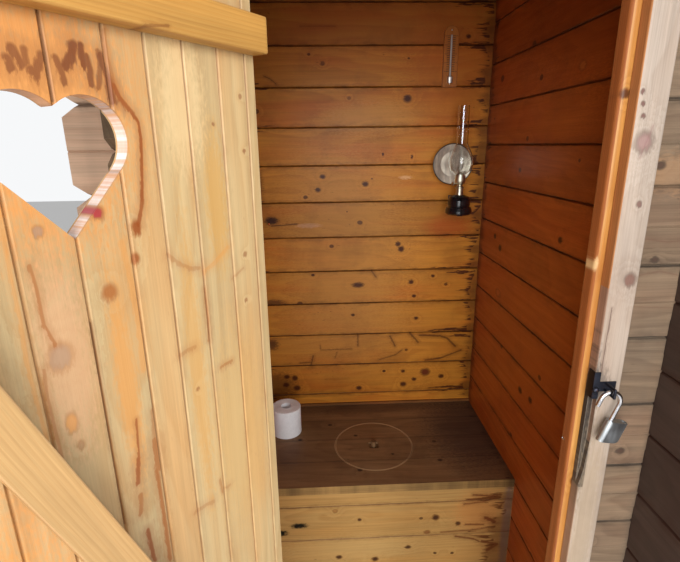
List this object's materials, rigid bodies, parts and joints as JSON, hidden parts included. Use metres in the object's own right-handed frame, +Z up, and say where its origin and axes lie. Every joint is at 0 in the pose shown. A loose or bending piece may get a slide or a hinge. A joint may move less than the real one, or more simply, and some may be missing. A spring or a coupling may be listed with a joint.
{
  "type": "outhouse",
  "caption": "Small timber outhouse of notched planks with a pent roof, a ledged door with a heart cut-out standing open, and a bench seat with a round lid.",
  "frame": {"origin": "on the ground, in the middle of the cabin's width and of the right-hand wall's length", "axes": "+X to the right seen from the front, +Y from the front into the cabin, +Z up"},
  "size_m": [1.2098, 1.6651, 2.2764],
  "materials": {
    "ground_timber": "dark weathered timber",
    "floor_wood": "worn boards",
    "wall_wood": "varnished spruce inside, greyed outside",
    "frame_wood": "varnished",
    "trim_wood": "greyed by weather",
    "roof_wood": "bare boards",
    "felt": "mineral-surfaced bitumen felt",
    "door_wood": "light varnished pine",
    "ledge_wood": "varnished pine",
    "dark_steel": "dark, lightly rusted",
    "padlock_steel": "dull grey",
    "bright_steel": "bright",
    "bench_top_wood": "dark and worn",
    "bench_wood": "varnished pine",
    "pale_wood": "pale, smooth",
    "paper": "soft white paper",
    "black_enamel": "glossy black enamel",
    "old_brass": "dull",
    "lamp_glass": "clear",
    "reflector_metal": "dull mirror",
    "thermometer_wood": "brown varnish"
  },
  "bodies": {
    "cabin": {"bearers": "ground_timber", "floor_boards": "floor_wood", "left_wall": "wall_wood", "right_wall": "wall_wood", "back_wall": "wall_wood", "front_wall_left": "wall_wood", "front_wall_right": "wall_wood", "front_wall_over_door": "wall_wood", "frame_post_left": "frame_wood", "frame_post_right": "frame_wood", "door_head": "frame_wood", "threshold": "frame_wood", "trim_left": "trim_wood", "trim_right": "trim_wood", "trim_head": "trim_wood", "roof_boards": "roof_wood", "roofing_felt": "felt", "front_fascia": "trim_wood", "back_fascia": "trim_wood", "barge_boards": "trim_wood", "frame_hinge_leaves": "dark_steel", "hasp_staple": "dark_steel", "padlock_body": "padlock_steel", "padlock_shackle": "bright_steel", "bench_top": "bench_top_wood", "bench_front": "bench_wood", "bench_cleats": "bench_wood", "bench_lath": "pale_wood", "paper_roll": "paper", "lamp_reservoir": "black_enamel", "lamp_burner": "old_brass", "lamp_chimney": "lamp_glass", "lamp_reflector": "reflector_metal", "lamp_bracket": "dark_steel", "thermometer_board": "thermometer_wood", "thermometer_tube": "bright_steel"},
    "door": {"door_boards": "door_wood", "door_ledges": "ledge_wood", "door_brace": "ledge_wood", "door_hinge_leaves": "dark_steel", "door_pull": "trim_wood", "hasp_strap": "dark_steel"},
    "lid": {"bench_lid": "bench_top_wood", "lid_knob": "pale_wood"}
  },
  "joints": [
    {"name": "door_hinge", "type": "hinge", "parent": "cabin", "child": "door", "pos_m": [-0.2795, -0.4475, 0], "axis": [0, 0, 1], "range_deg": [0, 125]},
    {"name": "lid_lift", "type": "slide", "parent": "cabin", "child": "lid", "axis": [0, 0, 1], "range_m": [0, 0.3]}
  ]
}
